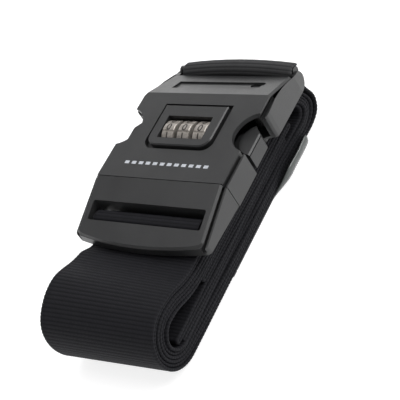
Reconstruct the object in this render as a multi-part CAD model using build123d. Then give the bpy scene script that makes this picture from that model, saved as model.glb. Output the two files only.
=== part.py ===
"""Luggage strap with a three-dial combination buckle, folded into its storage bundle.

Everything is drawn with y = 0 on the buckle's parting line, z = 0 on the surface
that the bundle lies on and x = 0 on its middle plane. Buckle parts are drawn with
z = 0 on the lock's flat top and lifted to TOP_Z. The last step moves the whole
bundle along y so that the origin is at the bottom centre of its box.
"""
from build123d import *
import math
import os

# ---------------------------------------------------------------- driving dimensions (mm)
BUCKLE_HALF_WIDTH = 31.5       # over the side walls
BUCKLE_DEPTH = 14.6            # flat top to flat underside
WALL = 2.0
FLOOR = -BUCKLE_DEPTH
FLOOR_TOP = FLOOR + WALL
TOP_Z = 37.5                   # flat top of the lock above the surface it lies on
PLATE_HALF_WIDTH = 30.0        # the flat top, which overhangs a groove on each side
PLATE_EDGE = 0.9               # thickness of the overhanging edge
RIM_CHAMFER = 0.8
WALL_TOP = -1.7                # top of the side walls, measured from the flat top
WALL_INNER_X = 30.7            # the groove lies between the side wall and this much less
GROOVE_FLOOR = -3.6

WEBBING_WIDTH = 50.0
WEBBING_THICKNESS = 1.3
LAYER_PITCH = 1.42             # from one layer of the folded webbing to the next
HALF_WEBBING = WEBBING_WIDTH / 2

# tongue frame
FRAME_SIDE_LENGTH = 23.6       # parting line to the end of its side walls
FRAME_BOW_LENGTH = 26.8        # the same to the middle of the bowed front edge
FRAME_TOP_SLOPE = 6.0 / 23.6
FRAME_FRONT_BOTTOM = -10.8
FRAME_REAR_BOTTOM = -12.3
FRAME_CORNER = 2.0
FRAME_GROOVE_X = 28.9          # how far the groove reaches under the frame's top
SLOT_HALF_WIDTH = 27.0
SLOT_REAR_Y = -10.0
SLOT_FRONT_Y = -18.0
SLOT_CORNER = 1.0
BAR_DEPTH = 3.2                # ladder bar across the slot
BAR_HEIGHT = 3.6
BAR_Y = -14.6
BAR_Z = -8.4
BAR_CORNER = 1.0
BAR_RIB_PITCH = 5.0
BAR_RIB_WIDTH = 1.2
BAR_RIB_HEIGHT = 0.6

# flexing prongs with the press pads
PRONG_TOP = -5.2
PRONG_BOTTOM = -12.1
PAD_FACE_X = 30.9
PAD_TOP = -4.5
PAD_X = 31.0                   # centre of the pad's round outline
PAD_Y = 25.6
PAD_RADIUS = 7.5
PAD_LINE_DEPTH = 0.6           # fine line cut along the pad under its top edge

# lock half
LOCK_FRONT_Y = 0.3
RIDGE_Y = 44.0                 # where the flat top turns down into the rear panel
PANEL_END_Y = 60.3
PANEL_SLOPE = 0.438
PANEL_ANGLE = math.degrees(math.atan(PANEL_SLOPE))
PANEL_END_HALF_WIDTH = 28.6    # the rear panel narrows towards the end bar
RECESS_Y = 51.6                # shallow recess in the rear panel
RECESS_LENGTH = 41.6
RECESS_WIDTH = 6.4
RECESS_DEPTH = 0.75
SKIRT_END_Y = 19.0             # front side skirts of the top cover
SKIRT_INNER = 29.0
SKIRT_BOTTOM = -12.8
SKIRT_GROOVE_X = 29.7
CHEEK_START_Y = 32.0           # rear side cheeks of the bottom cover
CHEEK_INNER = 26.9
CHEEK_SHELL_X = 29.0           # the cheeks are hollow up to here, except near the end bar
CHEEK_SHELL_END_Y = 53.0
CHEEK_FIT = 0.35
CHEEK_GROOVE = 0.8             # visible gap between the rear panel and the cheeks
CHEEK_GROOVE_DEPTH = 4.0
CHEEK_FRONT_FILLET = 1.2
NOTCH_X = 32.5                 # round opening in each side, in which the press pad sits
NOTCH_Y = 25.5
NOTCH_RADIUS = 9.6
END_BAR_Y = 65.2
END_BAR_Z = -8.5
END_BAR_RADIUS = 2.4
END_BAR_END_RADIUS = 1.3
END_BOSS_RADIUS = 2.0          # round boss on each cheek under the end of the bar
END_BOSS_X = 27.9
END_BOSS_DROP = 0.7

# dials and bezel
DIAL_Y = 25.5
DIAL_Z = -5.6
DIAL_RADIUS = 6.7
DIAL_WIDTH = 5.5
DIAL_PITCH = 7.5
DIAL_DIGITS = 10
FLUTE_RADIUS = 0.65
AXLE_RADIUS = 1.0
AXLE_HALF_LENGTH = 14.2
AXLE_FIT = 0.05
BEARING_X = 13.2
BEARING_FIT = 0.02
SLEEVE_RADIUS = 2.5
SLEEVE_FIT = 0.02
SLEEVE_FLANGE_RADIUS = 4.0
SLEEVE_FLANGE = 1.2
BEZEL_HALF_WIDTH = 15.1
BEZEL_LOW_Y = 16.4
BEZEL_HIGH_Y = 36.8
BEZEL_CORNER = 4.8
BEZEL_HEIGHT = 1.0             # how far it stands above the roof
BEZEL_GAP = 1.35               # dark gap round it
BEZEL_FLANGE = 0.65
WINDOW_MARGIN = 0.5

# lock mechanism
PLATE_FRONT_Y = 12.2
PLATE_REAR_Y = 16.0
PLATE_TOP = -8.2
PLATE_BOTTOM = -10.2
FINGER_WIDTH = 1.0
FINGER_END_Y = 19.4
LOCK_SPRING_X = 17.5
LOCK_SPRING_LENGTH = 5.2
LEAF_TIP_RADIUS = 0.75
BUTTON_X = 18.3
BUTTON_Y = 53.2
BUTTON_HALF_LENGTH = 3.0
BUTTON_RADIUS = 1.1
BUTTON_FIT = 0.45
BUTTON_SUNK = 1.3
COLLAR_DEPTH = 2.85
COLLAR_HEIGHT = 0.9
RESET_SPRING_LENGTH = 3.4
SCREW_PLACES = [(-13.0, 9.6), (13.0, 9.6), (-22.5, 41.0), (22.5, 41.0)]
SCREW_RADIUS = 1.0
SCREW_HEAD_RADIUS = 2.0
SCREW_POST_RADIUS = 2.4
SCREW_BOSS_RADIUS = 2.3

# folded webbing
BOTTOM_RUN_Z = 1.95            # centre line of the outermost layer on the underside
BACK_FOLD_Y = 57.85
TAIL_BACK_FOLD_Y = 56.6
FRONT_FOLD_Y = -50.15
FRONT_FOLD_RADIUS = 13.7
BEND_RADIUS = 30.0             # both arcs of the swan-neck between front fold and buckle
NECK_DROP = 4.7                # the front fold stands this much above the layers under the buckle
NECK_ANGLE = math.degrees(math.acos(1 - NECK_DROP / (2 * BEND_RADIUS)))
NECK_LENGTH = 2 * BEND_RADIUS * math.sin(math.radians(NECK_ANGLE))
NECK_END_Y = FRONT_FOLD_Y + NECK_LENGTH
TOP_RUN_Z = BOTTOM_RUN_Z + 2 * FRONT_FOLD_RADIUS - NECK_DROP
WRAP_RADIUS = 1.9
BAR_CLEARANCE = 0.9            # from the ladder bar to the centre line of the webbing on it
TAIL_TURNS = 5                 # full turns of the tail inside the outer run
INNER_RUNS = (76.0, 101.4, 96.0, 94.2)  # the last of the tail, folded to and fro inside the coil
ANCHOR_Y = BACK_FOLD_Y + 10.65
ANCHOR_END_Z = 17.3
ANCHOR_BEND_RADIUS = 3.2
MAIN_START_Z = 17.0
OVERLAP_PITCH = 1.45           # from the webbing to its sewn-back end

# name pocket under the bundle
POCKET_LENGTH = 66.0
POCKET_START_Y = -12.0
POCKET_END_Y = POCKET_START_Y + POCKET_LENGTH
POCKET_HALF_WIDTH = HALF_WEBBING - 0.4
POCKET_DEPTH = 1.2
FILM = 0.4
CARD_LENGTH = 62.0
CARD_WIDTH = 38.0
CARD_THICKNESS = 0.3
LAYER_GAP = 0.05
SEAM_LENGTH = 3.0
TAPE_HALF_WIDTH = HALF_WEBBING - 1.0
TAPE_FILLET = 0.3

# the bundle's ends, which set where the origin lies
FRONT_Y = FRONT_FOLD_Y - FRONT_FOLD_RADIUS - WEBBING_THICKNESS / 2
REAR_Y = ANCHOR_Y + WEBBING_THICKNESS / 2
ORIGIN_SHIFT = -(FRONT_Y + REAR_Y) / 2


# ---------------------------------------------------------------- small helpers
def block(x0, x1, y0, y1, z0, z1):
    """Box between two corners."""
    centre = ((x0 + x1) / 2, (y0 + y1) / 2, (z0 + z1) / 2)
    return Pos(*centre) * Box(x1 - x0, y1 - y0, z1 - z0)


def side_prism(points, x0, x1):
    """Solid between x0 and x1 whose outline is a polygon of (y, z) points."""
    outline = Polyline(*[(x0, y, z) for y, z in points], close=True)
    return extrude(make_face(outline), amount=x1 - x0, dir=(1, 0, 0))


def plan_prism(points, z0, z1):
    """Solid between z0 and z1 whose outline is a polygon of (x, y) points."""
    outline = Polyline(*[(x, y, z0) for x, y in points], close=True)
    return extrude(make_face(outline), amount=z1 - z0, dir=(0, 0, 1))


def cross_rod(y, z, radius, x0, x1):
    """Round rod along x."""
    return Pos((x0 + x1) / 2, y, z) * Rot(0, 90, 0) * Cylinder(radius, x1 - x0)


def mirror_pair(shape):
    """The shape and its mirror image across x = 0."""
    return [shape, mirror(shape, Plane.YZ)]


def on_buckle(shape):
    return Pos(0, 0, TOP_Z) * shape


class Ribbon:
    """A strip of webbing seen from the side, laid down run by run along its centre line."""

    def __init__(self, y, z, heading):
        self.y = y
        self.z = z
        self.heading = math.radians(heading)
        self.runs = []
        self.length = 0.0

    def straight(self, length):
        start = (self.y, self.z, self.heading)
        self.y += length * math.cos(self.heading)
        self.z += length * math.sin(self.heading)
        self.runs.append(("straight", start, (self.y, self.z, self.heading), None))
        self.length += length
        return self

    def turn(self, radius, degrees):
        """Arc to the left for a positive angle, to the right for a negative one."""
        side = 1 if degrees > 0 else -1
        centre_y = self.y - side * radius * math.sin(self.heading)
        centre_z = self.z + side * radius * math.cos(self.heading)
        start = (self.y, self.z, self.heading)
        middle = self.heading + math.radians(degrees) / 2
        self.heading += math.radians(degrees)
        self.y = centre_y + side * radius * math.sin(self.heading)
        self.z = centre_z - side * radius * math.cos(self.heading)
        half_way = (centre_y + side * radius * math.sin(middle), centre_z - side * radius * math.cos(middle), middle)
        self.runs.append(("arc", start, (self.y, self.z, self.heading), half_way))
        self.length += radius * abs(math.radians(degrees))
        return self

    @staticmethod
    def _beside(place, offset):
        """Point to the left of a place on the centre line, seen the way the strip runs."""
        y, z, heading = place
        return (0, y - offset * math.sin(heading), z + offset * math.cos(heading))

    def _edge(self, run, offset):
        kind, start, end, half_way = run
        first = self._beside(start, offset)
        last = self._beside(end, offset)
        if kind == "straight":
            return Edge.make_line(first, last)
        return Edge.make_three_point_arc(first, self._beside(half_way, offset), last)

    def solid(self, thickness=WEBBING_THICKNESS, width=WEBBING_WIDTH):
        half = thickness / 2
        left = [self._edge(run, half) for run in self.runs]
        right = [self._edge(run, -half) for run in self.runs]
        first = self.runs[0][1]
        last = self.runs[-1][2]
        caps = [
            Edge.make_line(self._beside(last, half), self._beside(last, -half)),
            Edge.make_line(self._beside(first, -half), self._beside(first, half)),
        ]
        outline = Wire(left + right + caps)
        return extrude(Face(outline), amount=width / 2, dir=(1, 0, 0), both=True)


# ---------------------------------------------------------------- tongue half
def frame_top(y):
    return FRAME_TOP_SLOPE * y


def side_grooves(inner, y0, y1, slope=0.0):
    """Cutters for the channel between the overhanging top and each side wall."""
    outer = BUCKLE_HALF_WIDTH + 1
    section = [(PLATE_HALF_WIDTH, 2), (PLATE_HALF_WIDTH, -PLATE_EDGE), (inner, -PLATE_EDGE), (inner, GROOVE_FLOOR),
               (WALL_INNER_X, GROOVE_FLOOR), (WALL_INNER_X, WALL_TOP), (outer, WALL_TOP), (outer, 2)]
    outline = Polyline(*[(x, y0, z + slope * y0) for x, z in section], close=True)
    along = Vector(0, 1, slope).normalized()
    return mirror_pair(extrude(make_face(outline), amount=(y1 - y0) * math.hypot(1, slope), dir=along))


def frame_slab(half_width, drop, bottom_front, bottom_rear):
    """Bowed frame outline between a surface below its sloped top and a lower surface."""
    w = half_width
    edge = Polyline((-w, -FRAME_SIDE_LENGTH), (-w, 0), (w, 0), (w, -FRAME_SIDE_LENGTH))
    bow = ThreePointArc((w, -FRAME_SIDE_LENGTH), (0, -FRAME_BOW_LENGTH), (-w, -FRAME_SIDE_LENGTH))
    plan = Pos(0, 0, -20) * extrude(make_face([edge, bow]), amount=25)
    corners = plan.edges().filter_by(Axis.Z).filter_by(lambda e: e.center().Y < -20)
    plan = fillet(corners, FRAME_CORNER)
    front = -FRAME_BOW_LENGTH - 1
    profile = [(0, -drop), (front, frame_top(front) - drop), (front, bottom_front), (0, bottom_rear)]
    return plan & side_prism(profile, -w - 1, w + 1)


def tongue_frame():
    """Moulded frame with the webbing slot, its ladder bar and the guide tongue."""
    front = -FRAME_BOW_LENGTH - 1
    frame = frame_slab(BUCKLE_HALF_WIDTH, PLATE_EDGE, FRAME_FRONT_BOTTOM, FRAME_REAR_BOTTOM)
    for groove in side_grooves(FRAME_GROOVE_X, front, 1, FRAME_TOP_SLOPE):
        frame -= groove
    top = frame_slab(PLATE_HALF_WIDTH, 0, frame_top(front) - PLATE_EDGE - 0.1, -PLATE_EDGE - 0.1)
    surface = top.faces().filter_by(lambda f: f.normal_at().Z > 0.9)[0]
    frame += chamfer(surface.edges().filter_by(lambda e: e.center().Y < -1), RIM_CHAMFER)
    slot_middle = (SLOT_REAR_Y + SLOT_FRONT_Y) / 2
    slot = RectangleRounded(2 * SLOT_HALF_WIDTH, SLOT_REAR_Y - SLOT_FRONT_Y, SLOT_CORNER)
    frame -= Pos(0, slot_middle, -20) * extrude(slot, amount=25)
    bar = extrude(Plane.YZ * RectangleRounded(BAR_DEPTH, BAR_HEIGHT, BAR_CORNER), SLOT_HALF_WIDTH + 0.2, both=True)
    frame += Pos(0, BAR_Y, BAR_Z) * bar
    for number in range(-5, 6):
        rib = Box(BAR_RIB_WIDTH, BAR_DEPTH - 0.8, BAR_RIB_HEIGHT)
        frame += Pos(number * BAR_RIB_PITCH, BAR_Y, BAR_Z - BAR_HEIGHT / 2) * rib
    frame += block(-18.5, 18.5, -0.5, 3.5, -11.8, -3.0)
    frame += plan_prism([(-9, 0), (9, 0), (9, 8.5), (6.5, 11), (-6.5, 11), (-9, 8.5)], -11.0, -5.0)
    return frame


def right_prong():
    """Flexing side arm with the press pad and the lug that drives the locking plate."""
    arm = plan_prism([(21.2, 0.1), (23.8, 0.1), (24.3, 12.5), (26.4, 17.4), (26.4, 29.0), (22.8, 29.0),
                      (21.2, 27.4), (21.2, 14.8), (19.6, 13.2), (19.6, 12.4), (21.2, 10.8)],
                     PRONG_BOTTOM, PRONG_TOP)
    height = PAD_TOP - PRONG_BOTTOM
    pad = Pos(PAD_X, PAD_Y, PRONG_BOTTOM + height / 2) * Cylinder(PAD_RADIUS, height)
    pad &= block(20, PAD_FACE_X, 10, 40, -20, 0)
    pad -= plan_prism([(PAD_FACE_X + 0.2, 28.0), (PAD_FACE_X + 1, 36), (26.8, 36), (26.8, 32.8)], -20, 0)
    prong = arm + pad
    outer = prong.edges().filter_by(Axis.Y).filter_by(lambda e: e.center().X > PAD_FACE_X - 0.1)
    prong = chamfer(outer.sort_by(Axis.Z)[-1], 0.5)
    return prong - block(PAD_FACE_X - PAD_LINE_DEPTH, PAD_FACE_X + 1, 10, 40, PAD_TOP - 1.2, PAD_TOP - 0.7)


# ---------------------------------------------------------------- lock half
def notches():
    """Cutters for the round opening in each side, through which a press pad is reached."""
    return mirror_pair(Pos(NOTCH_X, NOTCH_Y, -9) * Cylinder(NOTCH_RADIUS, 24))


def panel_z(y):
    return -(y - RIDGE_Y) * PANEL_SLOPE


def on_panel(x, y, shape):
    """Put a shape drawn about the origin with +z out of the rear panel at (x, y)."""
    return Pos(x, y, panel_z(y)) * Rot(-PANEL_ANGLE, 0, 0) * shape


def bezel_outline(grow):
    """Plan of the raised dial plate: small upper corners and large lower ones."""
    half = BEZEL_HALF_WIDTH + grow
    low = BEZEL_LOW_Y - grow
    high = BEZEL_HIGH_Y + grow
    side = BEZEL_CORNER
    edge = Polyline((half, low + side), (half, high), (-half, high), (-half, low + side))
    foot = Line((-half + side, low), (half - side, low))
    left = RadiusArc((-half, low + side), (-half + side, low), -side)
    right = RadiusArc((half - side, low), (half, low + side), -side)
    return make_face([edge, foot, left, right])


def above_roof(drop, grow):
    """Everything above the lock's top surface less a drop, inside its plan outline grown a little."""
    start = LOCK_FRONT_Y - 5
    end = PANEL_END_Y + grow
    profile = side_prism([(start, -drop), (RIDGE_Y, -drop), (end, panel_z(end) - drop), (end, 6), (start, 6)], -40, 40)
    side = PLATE_HALF_WIDTH + grow
    rear = PANEL_END_HALF_WIDTH + grow
    outline = [(side, start), (side, RIDGE_Y), (rear, end), (-rear, end), (-side, RIDGE_Y), (-side, start)]
    return profile & plan_prism(outline, -30, 10)


def top_cover():
    """Roof with the sloped rear panel, its front side skirts and the wall before the end bar."""
    w = BUCKLE_HALF_WIDTH
    end = PANEL_END_Y
    narrow = CHEEK_INNER - CHEEK_FIT
    cover = above_roof(WALL, 0) - above_roof(0, 5)
    cover -= block(-w, w, -10, LOCK_FRONT_Y, -20, 5)
    for skirt in mirror_pair(block(SKIRT_INNER, w, LOCK_FRONT_Y, SKIRT_END_Y, SKIRT_BOTTOM, -0.5)):
        cover += skirt
    for groove in side_grooves(SKIRT_GROOVE_X, -1, CHEEK_START_Y):
        cover -= groove
    overhang = above_roof(WALL + 1, 1) - above_roof(PLATE_EDGE, 2) - above_roof(9, -CHEEK_GROOVE)
    cover -= overhang & block(-w, w, CHEEK_START_Y, end - 1, -20, 5)
    cover += block(-narrow, narrow, end - WALL, end, -12.4, panel_z(end) - 1)
    rim = cover.edges().filter_by(lambda e: abs(e.center().X) > 28 and e.center().Z > panel_z(e.center().Y) - 0.05
                                  and abs(e @ 0 - e @ 1) > 10 and e.center().Z > -6)
    rim = rim.filter_by(lambda e: abs((e % 0.5).Y) > 0.8)
    cover = chamfer(rim, RIM_CHAMFER)
    for notch in notches():
        cover -= notch
    cover -= Pos(0, 0, -5) * extrude(bezel_outline(BEZEL_GAP), amount=8)
    cover -= on_panel(0, RECESS_Y, Box(RECESS_LENGTH, RECESS_WIDTH, 2 * RECESS_DEPTH))
    slot = SlotOverall(2 * (BUTTON_HALF_LENGTH + BUTTON_FIT), 2 * (BUTTON_RADIUS + BUTTON_FIT))
    cover -= on_panel(BUTTON_X, BUTTON_Y, Pos(0, 0, -4) * extrude(slot, amount=6))
    for x, y in SCREW_PLACES:
        boss = Pos(x, y, -WALL - 1.9) * Cylinder(SCREW_BOSS_RADIUS, 4.0)
        cover += boss - Pos(x, y, -WALL - 2.5) * Cylinder(1.05, 4.2)
    return cover


def cheek():
    """Right side cheek, which narrows towards the rear and carries the end bar."""
    x0 = CHEEK_INNER
    x1 = BUCKLE_HALF_WIDTH
    outline = [
        Polyline((x0, CHEEK_START_Y, -13.4), (x0, CHEEK_START_Y, -2.6), (x0, 44.5, -2.6), (x0, 49.5, -3.6),
                 (x0, 55.0, -5.3), (x0, 63.0, -8.6)),
        ThreePointArc((x0, 63.0, -8.6), (x0, 66.9, -11.6), (x0, 62.8, -17.0)),
        Line((x0, 62.8, -17.0), (x0, CHEEK_START_Y, -13.4)),
    ]
    plate = extrude(make_face(outline), amount=x1 - x0, dir=(1, 0, 0))
    plate &= plan_prism([(x0 - 1, 30), (x1, 30), (x1, 38), (29.6, 61), (28.4, 68), (x0 - 1, 68)], -30, 5)
    return plate


def end_bar():
    """Bar that the anchor loop goes round, thickest in the middle."""
    reach = CHEEK_INNER + 0.1
    crown = ThreePointArc((-reach, END_BAR_END_RADIUS), (0, END_BAR_RADIUS), (reach, END_BAR_END_RADIUS))
    sides = Polyline((reach, END_BAR_END_RADIUS), (reach, 0), (-reach, 0), (-reach, END_BAR_END_RADIUS))
    return Pos(0, END_BAR_Y, END_BAR_Z) * revolve(make_face([crown, sides]), axis=Axis.X)


def bottom_cover():
    inset = SKIRT_INNER - 0.2
    cover = block(-inset, inset, 4.2, CHEEK_START_Y, FLOOR, FLOOR_TOP)
    cover += block(-CHEEK_INNER - 0.1, CHEEK_INNER + 0.1, CHEEK_START_Y - 1, PANEL_END_Y, FLOOR, FLOOR_TOP)
    for side in mirror_pair(cheek() - block(CHEEK_INNER - 1, CHEEK_SHELL_X, 30, CHEEK_SHELL_END_Y, FLOOR_TOP, 0)):
        cover += side
    behind = block(-40, 40, CHEEK_START_Y - 5, 70, -30, 10)
    cover -= above_roof(WALL + 0.1, CHEEK_GROOVE) & behind
    channel = above_roof(CHEEK_GROOVE_DEPTH, CHEEK_GROOVE) - above_roof(9, -CHEEK_GROOVE)
    cover -= channel & behind & block(-40, 40, 30, PANEL_END_Y - 1, -30, 10)
    for notch in notches():
        cover -= notch
    front = cover.edges().filter_by(Axis.Z)
    front = front.filter_by(lambda e: abs(e.center().X) > BUCKLE_HALF_WIDTH - 0.1 and e.center().Y < 36)
    cover = fillet(front, CHEEK_FRONT_FILLET)
    cover += end_bar()
    boss_z = END_BAR_Z - END_BOSS_DROP
    for boss in mirror_pair(cross_rod(END_BAR_Y, boss_z, END_BOSS_RADIUS, CHEEK_INNER, END_BOSS_X)):
        cover += boss
    for x in (-BEARING_X, BEARING_X):
        bearing = block(x - 0.8, x + 0.8, DIAL_Y - 2.5, DIAL_Y + 2.5, FLOOR_TOP - 0.5, -3.6)
        cover += bearing - cross_rod(DIAL_Y, DIAL_Z, AXLE_RADIUS + BEARING_FIT, x - 1, x + 1)
    for x, y in SCREW_PLACES:
        post = Pos(x, y, (FLOOR_TOP - 6.1) / 2) * Cylinder(SCREW_POST_RADIUS, -6.1 - FLOOR_TOP + 0.2)
        cover += post
        cover -= Pos(x, y, -10) * Cylinder(SCREW_RADIUS + 0.1, 12)
        cover -= Pos(x, y, FLOOR + 0.8) * Cylinder(SCREW_HEAD_RADIUS + 0.2, 1.8)
    return cover


def dial_bezel():
    """Raised plate round the dials, held under the roof by a thin flange."""
    plate = Pos(0, 0, -WALL) * extrude(bezel_outline(0), amount=WALL + BEZEL_HEIGHT)
    top_rim = plate.faces().sort_by(Axis.Z)[-1].edges()
    plate = chamfer(top_rim, 0.45)
    flange = Pos(0, 0, -WALL - 0.7) * extrude(bezel_outline(BEZEL_GAP + 0.7), amount=BEZEL_FLANGE)
    plate = plate + Pos(0, 0, -WALL - 0.1) * extrude(bezel_outline(-0.4), amount=0.3) + flange
    half_window = DIAL_PITCH + DIAL_WIDTH / 2 + WINDOW_MARGIN
    plate -= block(-half_window, half_window, DIAL_Y - 5.6, DIAL_Y + 5.6, -4, 2)
    plate -= block(-half_window - 1.5, half_window + 1.5, DIAL_Y - 6.7, DIAL_Y + 6.7, -4, -0.9)
    return plate


def dial_x(number):
    return (number - 2) * DIAL_PITCH


def dial_wheel(number):
    """Number wheel with a shallow flute between each two digits."""
    x = dial_x(number)
    half = DIAL_WIDTH / 2
    wheel = cross_rod(DIAL_Y, DIAL_Z, DIAL_RADIUS, x - half, x + half)
    wheel = chamfer(wheel.edges(), 0.3)
    wheel -= cross_rod(DIAL_Y, DIAL_Z, SLEEVE_RADIUS + SLEEVE_FIT, x - half - 1, x + half + 1)
    for step in range(DIAL_DIGITS):
        angle = 2 * math.pi * step / DIAL_DIGITS
        y = DIAL_Y + (DIAL_RADIUS + 0.25) * math.cos(angle)
        z = DIAL_Z + (DIAL_RADIUS + 0.25) * math.sin(angle)
        wheel -= cross_rod(y, z, FLUTE_RADIUS, x - half - 1, x + half + 1)
    return wheel


def code_sleeve(number):
    """Sleeve inside a wheel; its notched flange sets the code."""
    x = dial_x(number)
    half = DIAL_WIDTH / 2
    flange_start = x + half + 0.15
    flange_end = flange_start + SLEEVE_FLANGE
    sleeve = cross_rod(DIAL_Y, DIAL_Z, SLEEVE_RADIUS, x - half, flange_end)
    sleeve += cross_rod(DIAL_Y, DIAL_Z, SLEEVE_FLANGE_RADIUS, flange_start, flange_end)
    sleeve -= cross_rod(DIAL_Y, DIAL_Z, AXLE_RADIUS + AXLE_FIT, x - half - 1, flange_end + 1)
    notch_y = DIAL_Y - SLEEVE_FLANGE_RADIUS
    sleeve -= block(flange_start - 0.1, flange_end + 0.1, notch_y - 1, notch_y + 1.3, DIAL_Z - 0.9, DIAL_Z + 0.9)
    return sleeve


def dial_axle():
    return cross_rod(DIAL_Y, DIAL_Z, AXLE_RADIUS, -AXLE_HALF_LENGTH, AXLE_HALF_LENGTH)


def cover_screws():
    screws = []
    for x, y in SCREW_PLACES:
        shaft = Pos(x, y, (FLOOR + 0.5 - 4.6) / 2) * Cylinder(SCREW_RADIUS, -4.6 - FLOOR - 0.5)
        head = Pos(x, y, FLOOR + 0.9) * Cylinder(SCREW_HEAD_RADIUS, 1.2)
        screw = head + shaft
        for angle in (0, 90):
            screw -= Pos(x, y, FLOOR + 0.3) * Rot(0, 0, angle) * Box(2.4, 0.5, 1.0)
        screws.append(screw)
    return Compound(screws)


def locking_plate():
    """Sliding plate between the prong lugs, with one finger for each code sleeve."""
    plate = plan_prism([(-18.2, PLATE_FRONT_Y), (18.2, PLATE_FRONT_Y), (19.6, 13.6), (19.6, PLATE_REAR_Y),
                        (-19.6, PLATE_REAR_Y), (-19.6, 13.6)], PLATE_BOTTOM, PLATE_TOP)
    for number in (1, 2, 3):
        x = dial_x(number) + DIAL_WIDTH / 2 + 0.25
        plate += block(x, x + FINGER_WIDTH, PLATE_REAR_Y - 0.5, FINGER_END_Y, PLATE_BOTTOM, PLATE_TOP)
        plate += block(x, x + FINGER_WIDTH, FINGER_END_Y - 1.0, FINGER_END_Y, PLATE_TOP - 0.1, DIAL_Z + 0.7)
    return plate


def spring(radius, wire, height, turns):
    """Coil spring standing on z = 0."""
    path = Helix(pitch=(height - wire) / turns, height=height - wire, radius=radius)
    section = Plane(origin=path @ 0, z_dir=path % 0) * Circle(wire / 2)
    return Pos(0, 0, wire / 2) * sweep(section, path=path, is_frenet=True)


def locking_springs():
    """Two coil springs that push the locking plate back to the tongue."""
    coils = []
    for x in (-LOCK_SPRING_X, LOCK_SPRING_X):
        seat = Pos(x, PLATE_REAR_Y + 0.2, (PLATE_TOP + PLATE_BOTTOM) / 2) * Rot(-90, 0, 0)
        coils.append(seat * spring(0.9, 0.3, LOCK_SPRING_LENGTH, 6))
    return Compound(coils)


def spring_stops():
    """Upright ribs on the floor that the locking springs lean on."""
    front = PLATE_REAR_Y + 0.2 + LOCK_SPRING_LENGTH + 0.2
    return [block(x - 1.5, x + 1.5, front, front + 1.2, FLOOR_TOP - 0.2, PLATE_TOP + 0.6)
            for x in (-LOCK_SPRING_X, LOCK_SPRING_X)]


def detent_spring():
    """Leaf spring clipped under the roof behind the dials, one curved leaf for each wheel."""
    strip = block(-12.0, 12.0, 34.0, 36.4, -3.0, -2.7)
    leaf_end = DIAL_Y + DIAL_RADIUS + 0.1
    for number in (1, 2, 3):
        x = dial_x(number)
        strip += block(x - 1.8, x + 1.8, 33.7, 34.0, -8.6, -2.7)
        strip += cross_rod(leaf_end + 0.8, -7.8, LEAF_TIP_RADIUS, x - 1.8, x + 1.8)
    return strip


def reset_button():
    """Oval pin for changing the code, sunk in the recess of the rear panel."""
    oval = SlotOverall(2 * BUTTON_HALF_LENGTH, 2 * BUTTON_RADIUS)
    stem = Pos(0, 0, -COLLAR_DEPTH) * extrude(oval, amount=COLLAR_DEPTH - BUTTON_SUNK)
    rim = SlotOverall(2 * BUTTON_HALF_LENGTH + 1.6, 2 * BUTTON_RADIUS + 1.6)
    return on_panel(BUTTON_X, BUTTON_Y, stem + Pos(0, 0, -COLLAR_DEPTH) * extrude(rim, amount=COLLAR_HEIGHT))


def reset_spring():
    foot = -COLLAR_DEPTH - 0.1 - RESET_SPRING_LENGTH
    return on_panel(BUTTON_X, BUTTON_Y, Pos(0, 0, foot) * spring(1.4, 0.35, RESET_SPRING_LENGTH, 4))


def reset_spring_seat():
    """Post on the floor that carries the reset spring."""
    seat = Pos(0, 0, -COLLAR_DEPTH - 0.2 - RESET_SPRING_LENGTH - 4) * Cylinder(2.2, 8)
    return on_panel(BUTTON_X, BUTTON_Y, seat) & block(0, 30, 40, 58, FLOOR_TOP - 0.5, 0)


# ---------------------------------------------------------------- webbing
def webbing_main_run():
    """From the sewn end, under the bundle, round the front fold and over the ladder bar."""
    bar_front = BAR_Y - BAR_DEPTH / 2 - BAR_CLEARANCE
    bar_rear = BAR_Y + BAR_DEPTH / 2 + BAR_CLEARANCE
    crest = TOP_Z + BAR_Z + BAR_HEIGHT / 2 + BAR_CLEARANCE
    back_radius = ANCHOR_Y - BACK_FOLD_Y
    ribbon = Ribbon(ANCHOR_Y, MAIN_START_Z, -90)
    ribbon.straight(MAIN_START_Z - BOTTOM_RUN_Z - back_radius).turn(back_radius, -90)
    ribbon.straight(BACK_FOLD_Y - FRONT_FOLD_Y).turn(FRONT_FOLD_RADIUS, -180)
    ribbon.turn(BEND_RADIUS, -NECK_ANGLE).turn(BEND_RADIUS, NECK_ANGLE)
    ribbon.straight(bar_front - WRAP_RADIUS - NECK_END_Y).turn(WRAP_RADIUS, 90)
    ribbon.straight(crest - WRAP_RADIUS - (TOP_RUN_Z + WRAP_RADIUS)).turn(WRAP_RADIUS, -90)
    ribbon.straight(bar_rear - bar_front - 2 * WRAP_RADIUS).turn(WRAP_RADIUS, -90)
    tail_z = TOP_RUN_Z - LAYER_PITCH
    ribbon.straight(crest - WRAP_RADIUS - (tail_z + WRAP_RADIUS)).turn(WRAP_RADIUS, -90)
    return ribbon


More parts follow.
